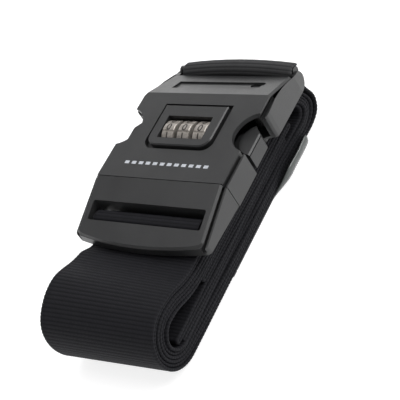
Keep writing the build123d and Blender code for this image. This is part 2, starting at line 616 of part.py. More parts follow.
def webbing_tail_coil(start_y, start_z):
    """The spare length, wound flat inside the outer run, its end laid back on itself."""
    ribbon = Ribbon(start_y, start_z, 180)
    ribbon.straight(start_y - NECK_END_Y)
    for layer in range(1, TAIL_TURNS + 1):
        step = layer * LAYER_PITCH
        ribbon.turn(BEND_RADIUS + step, -NECK_ANGLE).turn(BEND_RADIUS - step, NECK_ANGLE)
        ribbon.turn(FRONT_FOLD_RADIUS - step, 180)
        ribbon.straight(TAIL_BACK_FOLD_Y - FRONT_FOLD_Y)
        back_radius = (TOP_RUN_Z - LAYER_PITCH - BOTTOM_RUN_Z) / 2 - step
        ribbon.turn(back_radius, 180)
        if layer < TAIL_TURNS:
            ribbon.straight(TAIL_BACK_FOLD_Y - NECK_END_Y)
    fold = LAYER_PITCH / 2
    ribbon.straight(TAIL_BACK_FOLD_Y - NECK_END_Y).turn(fold, 180).straight(INNER_RUNS[0])
    ribbon.turn(fold, -180).straight(INNER_RUNS[1]).turn(fold, 180).straight(INNER_RUNS[2])
    ribbon.turn(fold, -180).straight(INNER_RUNS[3])
    return ribbon


def webbing_anchor_loop():
    """The fixed end, round the lock's end bar and sewn back to itself."""
    radius = ANCHOR_Y - END_BAR_Y
    neck = ANCHOR_BEND_RADIUS
    angle = math.degrees(math.acos(1 - (2 * radius - OVERLAP_PITCH) / (2 * neck)))
    drop = 2 * neck * math.sin(math.radians(angle))
    bar_z = TOP_Z + END_BAR_Z
    ribbon = Ribbon(ANCHOR_Y, ANCHOR_END_Z, 90)
    ribbon.straight(bar_z - ANCHOR_END_Z).turn(radius, 180)
    ribbon.turn(neck, angle).turn(neck, -angle).straight(bar_z - drop - ANCHOR_END_Z)
    return ribbon


# ---------------------------------------------------------------- name pocket under the bundle
def pocket_window():
    return block(-POCKET_HALF_WIDTH, POCKET_HALF_WIDTH, POCKET_START_Y, POCKET_END_Y, 0, FILM)


def name_card():
    middle = (POCKET_START_Y + POCKET_END_Y) / 2
    bottom = FILM + LAYER_GAP
    return block(-CARD_WIDTH / 2, CARD_WIDTH / 2, middle - CARD_LENGTH / 2, middle + CARD_LENGTH / 2,
                 bottom, bottom + CARD_THICKNESS)


def pocket_backing():
    bottom = POCKET_DEPTH - FILM
    return block(-POCKET_HALF_WIDTH, POCKET_HALF_WIDTH, POCKET_START_Y, POCKET_END_Y, bottom, POCKET_DEPTH)


def pocket_seams():
    """Folded tapes sewn over both ends of the pocket."""
    strips = []
    for y in (POCKET_START_Y - SEAM_LENGTH, POCKET_END_Y):
        tape = block(-TAPE_HALF_WIDTH, TAPE_HALF_WIDTH, y, y + SEAM_LENGTH, 0, POCKET_DEPTH)
        strips.append(fillet(tape.edges().filter_by(Axis.X), TAPE_FILLET))
    return Compound(strips)


# ---------------------------------------------------------------- assembly
def build():
    main_run = webbing_main_run()
    coil = webbing_tail_coil(main_run.y, main_run.z)
    anchor = webbing_anchor_loop()
    total = main_run.length + coil.length + anchor.length
    print(f"webbing length {total:.0f} mm: main {main_run.length:.0f}, tail {coil.length:.0f}, "
          f"anchor {anchor.length:.0f}")
    lower_cover = bottom_cover()
    for support in spring_stops() + [reset_spring_seat()]:
        lower_cover += support
    nodes = {
        "tongue_frame": on_buckle(tongue_frame()),
        "right_prong": on_buckle(right_prong()),
        "left_prong": on_buckle(mirror(right_prong(), Plane.YZ)),
        "top_cover": on_buckle(top_cover()),
        "bottom_cover": on_buckle(lower_cover),
        "dial_bezel": on_buckle(dial_bezel()),
        "dial_axle": on_buckle(dial_axle()),
        "cover_screws": on_buckle(cover_screws()),
        "locking_plate": on_buckle(locking_plate()),
        "locking_springs": on_buckle(locking_springs()),
        "detent_spring": on_buckle(detent_spring()),
        "reset_button": on_buckle(reset_button()),
        "reset_spring": on_buckle(reset_spring()),
        "webbing_main_run": main_run.solid(),
        "webbing_tail_coil": coil.solid(),
        "webbing_anchor_loop": anchor.solid(),
        "pocket_window": pocket_window(),
        "name_card": name_card(),
        "pocket_backing": pocket_backing(),
        "pocket_seams": pocket_seams(),
    }
    for number in (1, 2, 3):
        nodes[f"dial_wheel_{number}"] = on_buckle(dial_wheel(number))
        nodes[f"code_sleeve_{number}"] = on_buckle(code_sleeve(number))
    return nodes


os.makedirs("parts", exist_ok=True)
for name, shape in build().items():
    export_step(Pos(0, ORIGIN_SHIFT, 0) * shape, f"parts/{name}.step")
print(f"origin shift along y {ORIGIN_SHIFT:.3f} mm")
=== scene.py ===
"""Looks of a folded luggage strap with a three-dial combination buckle.

Webbing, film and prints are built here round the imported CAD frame. Their shapes are
drawn in millimetres with y = 0 on the buckle's parting line and z = 0 on the floor,
as the CAD source draws them, and moved into the row frame by place() or to_row_frame().
"""

import math
import random

import bmesh
import bpy
import numpy as np
from mathutils import Matrix, Vector


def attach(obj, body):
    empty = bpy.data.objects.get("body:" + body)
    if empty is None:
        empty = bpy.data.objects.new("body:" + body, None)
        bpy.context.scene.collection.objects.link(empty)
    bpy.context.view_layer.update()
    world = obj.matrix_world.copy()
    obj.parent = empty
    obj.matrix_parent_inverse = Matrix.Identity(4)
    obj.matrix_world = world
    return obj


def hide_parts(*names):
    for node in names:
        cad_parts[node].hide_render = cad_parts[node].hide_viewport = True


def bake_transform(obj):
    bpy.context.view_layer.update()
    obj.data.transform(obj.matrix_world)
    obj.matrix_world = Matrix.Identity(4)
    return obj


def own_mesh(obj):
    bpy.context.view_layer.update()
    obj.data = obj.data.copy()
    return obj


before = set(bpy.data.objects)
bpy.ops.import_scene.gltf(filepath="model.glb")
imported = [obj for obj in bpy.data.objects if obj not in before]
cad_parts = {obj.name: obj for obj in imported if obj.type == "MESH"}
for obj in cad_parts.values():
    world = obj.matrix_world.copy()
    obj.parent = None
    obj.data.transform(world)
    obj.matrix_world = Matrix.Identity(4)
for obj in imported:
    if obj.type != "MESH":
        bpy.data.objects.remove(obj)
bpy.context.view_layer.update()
random.seed(11)

MM = 0.001
ORIGIN_SHIFT = -2.325          # mm along y, from the drawing to the row frame
TOP_Z = 37.5                   # flat top of the lock

# webbing run, as the CAD source lays it
THICKNESS = 1.3
LAYER_PITCH = 1.42
HALF_WEBBING = 25.0
BOTTOM_RUN_Z = 1.95
BACK_FOLD_Y = 57.85
TAIL_BACK_FOLD_Y = 56.6
FRONT_FOLD_Y = -50.15
FRONT_FOLD_RADIUS = 13.7
BEND_RADIUS = 30.0
TAIL_TURNS = 5
NECK_DROP = 4.7
NECK_ANGLE = math.degrees(math.acos(1 - NECK_DROP / (2 * BEND_RADIUS)))
NECK_LENGTH = 2 * BEND_RADIUS * math.sin(math.radians(NECK_ANGLE))
NECK_END_Y = FRONT_FOLD_Y + NECK_LENGTH
TOP_RUN_Z = BOTTOM_RUN_Z + 2 * FRONT_FOLD_RADIUS - NECK_DROP
WRAP_RADIUS = 1.9
BAR_Y = -14.6
BAR_Z = TOP_Z - 8.4
BAR_DEPTH = 3.2
BAR_HEIGHT = 3.6
BAR_CLEARANCE = 0.9
ANCHOR_Y = BACK_FOLD_Y + 10.65
ANCHOR_TOP_Z = TOP_Z - 8.5     # middle of the end bar
ANCHOR_NECK_RADIUS = 3.2
END_BAR_Y = 65.2
SEAM_Z = 17.15                 # where the anchor loop meets the main run
OVERLAP_PITCH = 1.45
INNER_RUNS = (76.0, 101.4, 96.0, 94.2)

# the weave
RIB_PITCH = 1.45
RIB_HEIGHT = 0.055
YARN_PITCH = 0.62
GROOVE = -1.0
RIB_ROWS = ((0.0, GROOVE), (0.28, 0.8), (0.72, 0.8))     # share of the pitch, level there
ROW_MARGIN = 0.05              # the strip's ends have no row nearer than this
# distance in from the webbing's edge and share of the full thickness there
EDGE_PROFILE = ((0.0, 0.0), (0.12, 0.58), (0.45, 0.9), (1.0, 1.0), (1.7, 0.88), (2.6, 0.93))
MIDDLE_SHARE = 0.93
RIBS_FROM, RIBS_RISE = 0.4, 1.6                          # in from the edge, where ribs grow to full height
EDGE_RIB_SHARE = 0.35
NOTCH_BAND, NOTCH_DEPTH = 0.3, 0.06                      # the outermost edge steps in at each groove
DRIFT_WAVES = ((23.0, 0.5), (61.0, 0.35), (9.0, 0.15))   # length scale and share of the edges' wander
DRIFT_FADE = 8.0                                         # no wander at the strip's start

# where each movement of settle() sets in, as (none, full)
FRONT_FOLD_REACH = (-24.0, -58.0)
NECK_REACH, NECK_END = (-24.0, -31.0), (-58.0, -42.0)
UPPER_LAYERS, LOWER_LAYERS = (2.0, 26.0), (13.0, 3.0)
LOOP_BEHIND, LOOP_ABOVE, LOOP_TOP = (59.5, 61.5), (21.0, 28.0), (28.9, 31.0)
BULGE_BEHIND, BULGE_BELOW = (57.0, 66.0), (17.0, 8.0)
LEFT_SPREAD_REACH, RIGHT_SPREAD_REACH = (-8.0, -14.0), (34.0, 56.0)
# how far each one goes
FOLD_FORWARD, FOLD_FORWARD_HIGH, FOLD_FORWARD_LOW = 1.8, 0.6, 0.5
FOLD_LIFT, FOLD_SAG, NECK_LIFT = 3.0, 0.2, 3.1
LOOP_WIDENING = 0.06           # share of the width
LOOP_SKEW, LOOP_LIFT = 1.6, 0.3
CROWN_FORWARD, CROWN_DROP = 0.7, 1.3
BULGE_BACK, BULGE_BACK_RIGHT, BULGE_SIDEWAYS = 1.0, 1.2, 0.6
LEFT_SPREAD, RIGHT_SPREAD = 0.5, 1.2
PAINTED_LIGHT_ABOVE, PAINTED_LIGHT_BEHIND = (22.0, 31.0), (58.0, 61.0)   # where the colour is painted lighter: a painted highlight on the wrap over the end bar

# name pocket
FILM_HALF = HALF_WEBBING - 0.4
FILM_START, FILM_END = -12.0, 54.0
FILM_Z = 0.2
FILM_THICKNESS = 0.35
FILM_ROWS, FILM_COLUMNS = 57, 9
FLARE_FROM, FLARE_TO = (21.0, 36.0), (57.0, 51.0)
# the free edge's section where it stands up: distance out and up
FLAP = ((0.7, 0.0), (1.9, 0.3), (3.1, 1.1), (3.9, 2.4), (4.2, 4.0), (4.0, 5.8))
FLAP_FLAT_SHARE = 0.05         # how much of the flap's reach is left where it lies flat
FLAP_RIPPLE, RIPPLE_PER_MM, RIPPLE_LAG = 0.22, 0.42, 0.5
FILM_NARROWING = 0.04

# sewing
THREAD_SIDES = 8
THREAD_FLATNESS = 0.75         # height over width
# place along a stitch, share of the thread's radius, and how far it sinks in radii
STITCH_PROFILE = ((0.0, 0.35, 0.9), (0.12, 0.8, 0.25), (0.35, 1.0, 0.0),
                  (0.65, 1.0, 0.0), (0.88, 0.8, 0.25), (1.0, 0.35, 0.9))
STITCH_PITCH = 2.4
STITCH_FILL = 0.78             # share of the pitch that shows on this side
ANCHOR_THREAD_RADIUS, POCKET_THREAD_RADIUS = 0.22, 0.2
SEWN_HALF_WIDTH, SEWN_LOW_Z, SEWN_TOP_Z = 21.5, 17.9, 26.6
SEWN_FACE_Y = ANCHOR_Y + THICKNESS / 2 + 0.05
TAPE_HALF_WIDTH = 23.4
TAPE_ROWS = (-13.5, 55.5)

# dials
DIAL_Y, DIAL_Z, DIAL_RADIUS, DIAL_PITCH = 25.5, TOP_Z - 5.6, 6.7, 7.5
DIGIT_STEP = 36                # degrees from one digit to the next
DIGIT_LIFT = 0.03
DIGIT_HEIGHT = 3.2
FONT_SIZE = DIGIT_HEIGHT * 1.42                          # a digit is lower than its font's size
DIGIT_WEIGHT = 0.07
DIGIT_BAND = 0.4               # digits are cut into bands this high, so that they can be bent

# printed mark
DASH_COUNT = 12
DASH_ROW_HALF, DASH_HALF_HEIGHT, DASH_Y = 20.7, 0.7, 7.5
DASH_FROM, DASH_TO = 0.2, 0.8  # shares of the pitch
PRINT_SUNK, PRINT_RAISED = 0.02, 0.03


# ---------------------------------------------------------------- mesh helpers
def place(points):
    """Drawing millimetres to row frame metres."""
    moved = np.array(points, float)
    moved[:, 1] += ORIGIN_SHIFT
    return moved * MM


def to_row_frame(bm):
    """The same for a bmesh."""
    for vert in bm.verts:
        vert.co.y += ORIGIN_SHIFT
        vert.co *= MM


def smooth(none, full, value):
    """0 up to none, 1 from full on, and eased between. full may be the smaller of the two."""
    t = np.clip((value - none) / (full - none), 0, 1)
    return t * t * (3 - 2 * t)


def mesh_of(bm, name):
    """Turn a bmesh into a mesh and free it."""
    mesh = bpy.data.meshes.new(name)
    bm.to_mesh(mesh)
    bm.free()
    return mesh


def linked(name, mesh, *materials):
    """A new object in the scene, with these materials."""
    piece = bpy.data.objects.new(name, mesh)
    bpy.context.scene.collection.objects.link(piece)
    for mat in materials:
        mesh.materials.append(mat)
    return piece


# ---------------------------------------------------------------- node helpers
def new_material(name):
    mat = bpy.data.materials.new(name)
    mat.use_nodes = True
    tree = mat.node_tree
    return mat, tree, tree.nodes["Principled BSDF"]


def add(tree, kind, **values):
    """A new node with these settings."""
    node = tree.nodes.new(kind)
    for key, value in values.items():
        setattr(node, key, value)
    return node


def set_inputs(node, values):
    """Fill in a node's own numbers, by socket name."""
    for socket, value in values.items():
        node.inputs[socket].default_value = value


def math_node(tree, operation, a, b=None):
    node = add(tree, "ShaderNodeMath", operation=operation)
    for slot, value in ((0, a), (1, b)):
        if value is None:
            continue
        if isinstance(value, (int, float)):
            node.inputs[slot].default_value = value
        else:
            tree.links.new(value, node.inputs[slot])
    return node.outputs[0]


def times(tree, a, b):
    return math_node(tree, "MULTIPLY", a, b)


def plus(tree, a, b):
    return math_node(tree, "ADD", a, b)


def scaled(tree, value, gain, offset):
    return plus(tree, times(tree, value, gain), offset)


def arch(tree, phase):
    """A hump over each 0 to 1 of the phase."""
    return math_node(tree, "SINE", times(tree, phase, math.pi))


def ramp(tree, source, stops):
    node = add(tree, "ShaderNodeValToRGB")
    elements = node.color_ramp.elements
    while len(elements) < len(stops):
        elements.new(0.5)
    for element, (position, colour) in zip(elements, stops):
        element.position = position
        element.color = (*colour, 1)
    tree.links.new(source, node.inputs[0])
    return node.outputs[0]


def noise(tree, vector, scale, detail=3.0, roughness=0.55):
    node = add(tree, "ShaderNodeTexNoise")
    set_inputs(node, {"Scale": scale, "Detail": detail, "Roughness": roughness})
    tree.links.new(vector, node.inputs["Vector"])
    return node.outputs[0]


def bump(tree, height, distance):
    node = add(tree, "ShaderNodeBump")
    set_inputs(node, {"Strength": 1.0, "Distance": distance})
    tree.links.new(height, node.inputs["Height"])
    return node.outputs[0]


def mix(tree, factor, first, second, **values):
    """Mix two colours. Each of the three is a link or a plain value."""
    node = add(tree, "ShaderNodeMix", data_type="RGBA", **values)
    for slot, value in ((0, factor), (6, first), (7, second)):
        if isinstance(value, bpy.types.NodeSocket):
            tree.links.new(value, node.inputs[slot])
        else:
            node.inputs[slot].default_value = value
    return node.outputs[2]


def separate(tree, vector):
    node = add(tree, "ShaderNodeSeparateXYZ")
    tree.links.new(vector, node.inputs[0])
    return node.outputs


def object_coords(tree):
    return add(tree, "ShaderNodeTexCoord").outputs["Object"]


def attribute(tree, name, output):
    return add(tree, "ShaderNodeAttribute", attribute_name=name).outputs[output]


# ---------------------------------------------------------------- materials
def plastic(name, dark, light, rough_low, rough_high, grain=0.00003):
    """Moulded plastic with a fine spark-eroded texture and faint handling marks."""
    mat, tree, shader = new_material(name)
    where = object_coords(tree)
    blotch = noise(tree, where, scale=60.0, detail=4.0)
    speck = noise(tree, where, scale=3800.0, detail=2.0, roughness=0.7)
    wear = noise(tree, where, scale=220.0, detail=5.0, roughness=0.65)
    mixed = plus(tree, times(tree, wear, 0.7), times(tree, speck, 0.3))
    level = scaled(tree, mixed, rough_high - rough_low, rough_low)
    tree.links.new(ramp(tree, blotch, [(0.3, dark), (0.7, light)]), shader.inputs["Base Color"])
    tree.links.new(level, shader.inputs["Roughness"])
    tree.links.new(bump(tree, speck, grain), shader.inputs["Normal"])
    shader.inputs["IOR"].default_value = 1.5
    return mat


def steel(name):
    """Drawn wire and turned pins, streaked a little."""
    mat, tree, shader = new_material(name)
    streak = noise(tree, object_coords(tree), scale=900.0)
    colour = ramp(tree, streak, [(0.3, (0.42, 0.42, 0.43)), (0.7, (0.62, 0.62, 0.64))])
    tree.links.new(colour, shader.inputs["Base Color"])
    tree.links.new(scaled(tree, streak, 0.2, 0.22), shader.inputs["Roughness"])
    shader.inputs["Metallic"].default_value = 1.0
    return mat


def dial_paint():
    """Cream metallic enamel, darker in random patches."""
    mat, tree, shader = new_material("dial_enamel")
    where = object_coords(tree)
    fleck = noise(tree, where, scale=5200.0, detail=2.0, roughness=0.7)
    dial_patches = noise(tree, where, scale=700.0, detail=4.0)
    both = plus(tree, times(tree, fleck, 0.45), times(tree, dial_patches, 0.55))
    colour = ramp(tree, both, [(0.34, (0.19, 0.172, 0.15)), (0.6, (0.40, 0.37, 0.335))])
    tree.links.new(colour, shader.inputs["Base Color"])
    tree.links.new(scaled(tree, fleck, 0.25, 0.24), shader.inputs["Roughness"])
    tree.links.new(bump(tree, fleck, distance=0.00002), shader.inputs["Normal"])
    shader.inputs["Metallic"].default_value = 0.35
    return mat


def webbing_material(name, crest, valley, painted_lit_crest, painted_lit_valley):
    """Cross-ribbed weave: each rib is wrapped by warp yarns that step half a pitch from rib to rib.

    Over the end bar its colour is painted lighter, a painted highlight for the light that falls on the wrap
    there.
    """
    mat, tree, shader = new_material(name)
    strip = attribute(tree, "strip", "Vector")
    across, along, _ = separate(tree, strip)
    ribs = math_node(tree, "DIVIDE", along, RIB_PITCH)
    rib_number = math_node(tree, "FLOOR", ribs)
    hump = arch(tree, math_node(tree, "FRACT", ribs))
    half_step = times(tree, math_node(tree, "MODULO", rib_number, 2.0), 0.5)
    columns = plus(tree, math_node(tree, "DIVIDE", across, YARN_PITCH), half_step)
    yarn = arch(tree, math_node(tree, "FRACT", columns))
    fibre_coords = add(tree, "ShaderNodeCombineXYZ")
    for slot, (value, scale) in enumerate(((across, 9.0), (along, 1.6), (rib_number, 3.7))):
        tree.links.new(times(tree, value, scale), fibre_coords.inputs[slot])
    fibre = noise(tree, fibre_coords.outputs[0], scale=1.0, detail=4.0, roughness=0.6)
    broad = noise(tree, strip, scale=0.16)

    # the colour darkens into each rib's groove and between the yarns: painted shade in the grooves
    tone = times(tree, math_node(tree, "POWER", hump, 0.6), scaled(tree, yarn, 0.35, 0.65))
    tone = times(tree, tone, scaled(tree, fibre, 0.8, 0.6))
    tone = times(tree, tone, scaled(tree, broad, 0.6, 0.7))
    plain_colour = ramp(tree, tone, [(0.12, valley), (0.85, crest)])
    # lighter copy of the colours: painted highlight on the wrap over the end bar
    painted_lit_colour = ramp(tree, tone, [(0.12, painted_lit_valley), (0.85, painted_lit_crest)])
    colour = mix(tree, attribute(tree, "painted_light", "Fac"), plain_colour, painted_lit_colour)
    height = plus(tree, times(tree, times(tree, yarn, hump), 0.7), times(tree, fibre, 0.5))
    level = math_node(tree, "SUBTRACT", 0.82, times(tree, fibre, 0.25))
    tree.links.new(colour, shader.inputs["Base Color"])
    tree.links.new(level, shader.inputs["Roughness"])
    tree.links.new(bump(tree, height, distance=0.00012), shader.inputs["Normal"])
    set_inputs(shader, {"Sheen Weight": 0.02, "Sheen Roughness": 0.45, "Sheen Tint": (0.75, 0.78, 0.9, 1),
                        "Specular IOR Level": 0.12})
    return mat


def thread_material(name, colour):
    """Twisted sewing thread."""
    mat, tree, shader = new_material(name)
    twist = add(tree, "ShaderNodeTexWave")
    set_inputs(twist, {"Scale": 900.0, "Distortion": 2.0})
    tree.links.new(object_coords(tree), twist.inputs["Vector"])
    light = tuple(min(1.0, c * 1.7) for c in colour)
    tree.links.new(ramp(tree, twist.outputs[1], [(0.2, colour), (0.8, light)]), shader.inputs["Base Color"])
    tree.links.new(bump(tree, twist.outputs[1], distance=0.00005), shader.inputs["Normal"])
    shader.inputs["Roughness"].default_value = 0.6
    return mat


def film_material(name, colour, alpha):
    """Clear soft vinyl with faint ripples."""
    mat, tree, shader = new_material(name)
    ripple = noise(tree, object_coords(tree), scale=110.0)
    tree.links.new(bump(tree, ripple, distance=0.0006), shader.inputs["Normal"])
    set_inputs(shader, {"Base Color": (*colour, 1), "Roughness": 0.16, "Alpha": alpha, "IOR": 1.5})
    return mat


def print_material(name, colour):
    """Printing ink, worn in patches."""
    mat, tree, shader = new_material(name)
    patch = noise(tree, object_coords(tree), scale=2600.0, detail=4.0)
    worn = tuple(c * 0.72 for c in colour)
    tree.links.new(ramp(tree, patch, [(0.3, worn), (0.55, colour)]), shader.inputs["Base Color"])
    shader.inputs["Roughness"].default_value = 0.5
    return mat


def card_material():
    """White card with ruled fields and grey bars where words would be."""
    edge_x, rows_per_metre = 0.019, 105.0
    rule_share, bar_from, bar_to = 0.05, 0.3, 0.5
    bars_start_y = 0.043
    mat, tree, shader = new_material("card")
    where = object_coords(tree)
    x, y, _ = separate(tree, where)
    fibre = noise(tree, where, scale=1500.0, detail=4.0)
    paper = ramp(tree, fibre, [(0.3, (0.76, 0.76, 0.74)), (0.7, (0.86, 0.86, 0.84))])
    rows = math_node(tree, "FRACT", times(tree, plus(tree, x, edge_x), rows_per_metre))
    line = math_node(tree, "LESS_THAN", rows, rule_share)
    above = math_node(tree, "GREATER_THAN", rows, bar_from)
    bar = times(tree, above, math_node(tree, "LESS_THAN", rows, bar_to))
    bar = times(tree, bar, math_node(tree, "GREATER_THAN", y, bars_start_y))
    ink = times(tree, math_node(tree, "MAXIMUM", line, bar), 0.65)
    tree.links.new(mix(tree, ink, paper, (0.12, 0.12, 0.13, 1)), shader.inputs["Base Color"])
    shader.inputs["Roughness"].default_value = 0.7
    return mat


def floor_material():
    mat, _, shader = new_material("floor")
    set_inputs(shader, {"Base Color": (0.5, 0.5, 0.5, 1), "Emission Color": (1, 1, 1, 1),
                        "Emission Strength": 0.78, "Roughness": 0.9, "Specular IOR Level": 0.1})
    return mat


PLASTIC = plastic("buckle_plastic", (0.0172, 0.0175, 0.018), (0.0243, 0.0246, 0.0251), 0.30, 0.44)
BEZEL = plastic("bezel_plastic", (0.016, 0.0163, 0.0168), (0.022, 0.0223, 0.0228), 0.30, 0.44)
LOCK_PARTS = plastic("lock_parts_plastic", (0.012, 0.012, 0.0125), (0.02, 0.02, 0.021), 0.35, 0.5)
STEEL = steel("steel")
DIAL = dial_paint()
# the second pair of colours is lighter: a painted highlight on the wrap over the end bar
WEBBING = webbing_material("webbing", crest=(0.0125, 0.0125, 0.015), valley=(0.0042, 0.0042, 0.0052),
                           painted_lit_crest=(0.05, 0.05, 0.051), painted_lit_valley=(0.017, 0.017, 0.018))
TAPE = plastic("seam_tape", (0.012, 0.012, 0.013), (0.026, 0.026, 0.028), 0.7, 0.95, grain=0.0001)
THREAD = thread_material("black_thread", (0.016, 0.016, 0.018))
CLEAR = film_material("clear_film", (0.72, 0.76, 0.75), 0.42)
# a darker, nearly opaque copy of the clear film for the standing flap: painted shade
PAINTED_SHADE_FILM = film_material("film_flap_painted_shade", (0.088, 0.096, 0.093), 0.88)
BACKING = plastic("backing_film", (0.02, 0.02, 0.02), (0.03, 0.03, 0.03), 0.2, 0.35)
PRINT = print_material("white_print", (0.52, 0.54, 0.58))
DIGIT = print_material("digit_print", (0.02, 0.014, 0.012))
CARD = card_material()

for names, mat in (
    (("tongue_frame", "left_prong", "right_prong", "top_cover", "bottom_cover"), PLASTIC),
    (("dial_bezel",), BEZEL),
    (("dial_wheel_1", "dial_wheel_2", "dial_wheel_3"), DIAL),
    (("code_sleeve_1", "code_sleeve_2", "code_sleeve_3", "locking_plate", "reset_button"), LOCK_PARTS),
    (("dial_axle", "cover_screws", "locking_springs", "detent_spring", "reset_spring"), STEEL),
    (("pocket_seams",), TAPE),
    (("pocket_backing",), BACKING),
    (("name_card",), CARD),
):
    for node_name in names:
        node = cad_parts[node_name]
        for material_slot in node.material_slots:
            material_slot.material = mat


# ---------------------------------------------------------------- webbing
class Ribbon:
    """Centre line of a strip seen from the side, laid down run by run."""

    def __init__(self, y, z, heading):
        self.y, self.z, self.heading = y, z, math.radians(heading)
        self.runs = []
        self.length = 0.0

    def straight(self, length):
        self.runs.append((self.length, self.y, self.z, self.heading, None))
        self.y += length * math.cos(self.heading)
        self.z += length * math.sin(self.heading)
        self.length += length
        return self

    def turn(self, radius, degrees):
        side = 1 if degrees > 0 else -1
        self.runs.append((self.length, self.y, self.z, self.heading, side * radius))
        centre_y = self.y - side * radius * math.sin(self.heading)
        centre_z = self.z + side * radius * math.cos(self.heading)
        self.heading += math.radians(degrees)
        self.y = centre_y + side * radius * math.sin(self.heading)
        self.z = centre_z - side * radius * math.cos(self.heading)
        self.length += radius * abs(math.radians(degrees))
        return self

    def at(self, s):
        """(y, z, heading) at a distance along the centre line."""
        start, y, z, heading, radius = [run for run in self.runs if run[0] <= s + 1e-9][-1]
        step = s - start
        if radius is None:
            return y + step * math.cos(heading), z + step * math.sin(heading), heading
        turned = heading + step / radius
        return (y - radius * math.sin(heading) + radius * math.sin(turned),
                z + radius * math.cos(heading) - radius * math.cos(turned), turned)


def main_ribbon():
    """From the sewn end under the bundle, round the front fold and over the ladder bar."""
    bar_front = BAR_Y - BAR_DEPTH / 2 - BAR_CLEARANCE
    bar_rear = BAR_Y + BAR_DEPTH / 2 + BAR_CLEARANCE
    crest = BAR_Z + BAR_HEIGHT / 2 + BAR_CLEARANCE
    back_radius = ANCHOR_Y - BACK_FOLD_Y
    ribbon = Ribbon(ANCHOR_Y, SEAM_Z, -90)
    ribbon.straight(SEAM_Z - BOTTOM_RUN_Z - back_radius).turn(back_radius, -90)
    ribbon.straight(BACK_FOLD_Y - FRONT_FOLD_Y).turn(FRONT_FOLD_RADIUS, -180)
    ribbon.turn(BEND_RADIUS, -NECK_ANGLE).turn(BEND_RADIUS, NECK_ANGLE)
    ribbon.straight(bar_front - WRAP_RADIUS - NECK_END_Y).turn(WRAP_RADIUS, 90)
    ribbon.straight(crest - 2 * WRAP_RADIUS - TOP_RUN_Z).turn(WRAP_RADIUS, -90)
    ribbon.straight(bar_rear - bar_front - 2 * WRAP_RADIUS).turn(WRAP_RADIUS, -90)
    tail_z = TOP_RUN_Z - LAYER_PITCH
    ribbon.straight(crest - 2 * WRAP_RADIUS - tail_z).turn(WRAP_RADIUS, -90)
    return ribbon


def tail_ribbon(y, z):
    """The coil: whole turns inwards, then the last runs to and fro in its middle."""
    ribbon = Ribbon(y, z, 180)
    ribbon.straight(y - NECK_END_Y)
    for layer in range(1, TAIL_TURNS + 1):
        step = layer * LAYER_PITCH
        ribbon.turn(BEND_RADIUS + step, -NECK_ANGLE).turn(BEND_RADIUS - step, NECK_ANGLE)
        ribbon.turn(FRONT_FOLD_RADIUS - step, 180)
        ribbon.straight(TAIL_BACK_FOLD_Y - FRONT_FOLD_Y)
        ribbon.turn((TOP_RUN_Z - LAYER_PITCH - BOTTOM_RUN_Z) / 2 - step, 180)
        if layer < TAIL_TURNS:
            ribbon.straight(TAIL_BACK_FOLD_Y - NECK_END_Y)
    fold = LAYER_PITCH / 2
    ribbon.straight(TAIL_BACK_FOLD_Y - NECK_END_Y).turn(fold, 180).straight(INNER_RUNS[0])
    ribbon.turn(fold, -180).straight(INNER_RUNS[1]).turn(fold, 180).straight(INNER_RUNS[2])
    ribbon.turn(fold, -180).straight(INNER_RUNS[3])
    return ribbon


def anchor_ribbon():
    """Up from the seam, over the end bar and back down onto itself."""
    radius = ANCHOR_Y - END_BAR_Y
    angle = math.degrees(math.acos(1 - (2 * radius - OVERLAP_PITCH) / (2 * ANCHOR_NECK_RADIUS)))
    drop = 2 * ANCHOR_NECK_RADIUS * math.sin(math.radians(angle))
    ribbon = Ribbon(ANCHOR_Y, SEAM_Z, 90)
    ribbon.straight(ANCHOR_TOP_Z - SEAM_Z).turn(radius, 180)
    ribbon.turn(ANCHOR_NECK_RADIUS, angle).turn(ANCHOR_NECK_RADIUS, -angle)
    ribbon.straight(ANCHOR_TOP_Z - drop - SEAM_Z)
    return ribbon


def settle(points):
    """The way the folded bundle really lies.

    The front fold leans, its left edge higher and further forward, and the strap is spread a
    little there. The loop round the end bar is crowned like the bar, and the fold below it bulges.
    """
    x, y, z = points[:, 0].copy(), points[:, 1].copy(), points[:, 2].copy()
    left = np.clip((HALF_WEBBING - x) / (2 * HALF_WEBBING), 0, 1)
    right = 1 - left
    near_fold = smooth(*FRONT_FOLD_REACH, y)
    high = smooth(*UPPER_LAYERS, z)
    low = smooth(*LOWER_LAYERS, z)
    neck = smooth(*NECK_REACH, y) * smooth(*NECK_END, y)
    loop = smooth(*LOOP_BEHIND, y) * smooth(*LOOP_ABOVE, z)
    crown = (x / HALF_WEBBING) ** 2
    bulge = smooth(*BULGE_BEHIND, y) * smooth(*BULGE_BELOW, z)

    points[:, 0] = x * (1 + LOOP_WIDENING * loop) - LEFT_SPREAD * left * smooth(*LEFT_SPREAD_REACH, y)
    points[:, 0] += LOOP_SKEW * loop * smooth(*LOOP_TOP, z)
    points[:, 0] += right * (BULGE_SIDEWAYS * bulge + RIGHT_SPREAD * low * smooth(*RIGHT_SPREAD_REACH, y))
    points[:, 1] = y - near_fold * (left * (FOLD_FORWARD + FOLD_FORWARD_HIGH * high) + FOLD_FORWARD_LOW * low)
    points[:, 1] -= CROWN_FORWARD * loop * crown
    points[:, 1] += bulge * (BULGE_BACK + BULGE_BACK_RIGHT * right)
    points[:, 2] = z + near_fold * high * (FOLD_LIFT * left - FOLD_SAG) + neck * high * NECK_LIFT * left
    points[:, 2] += loop * (LOOP_LIFT - CROWN_DROP * crown)
    return points


def cross_section(inner_columns):
    """(x, share of the full thickness, side) once round the strip, over the top and back below."""
    left = [(-HALF_WEBBING + inset, share) for inset, share in EDGE_PROFILE]
    middle = [(x, MIDDLE_SHARE) for x in inner_columns]
    right = [(-x, share) for x, share in reversed(left)]
    across = left + middle + right
    return [(x, share, 1) for x, share in across] + [(x, share, -1) for x, share in reversed(across[1:-1])]


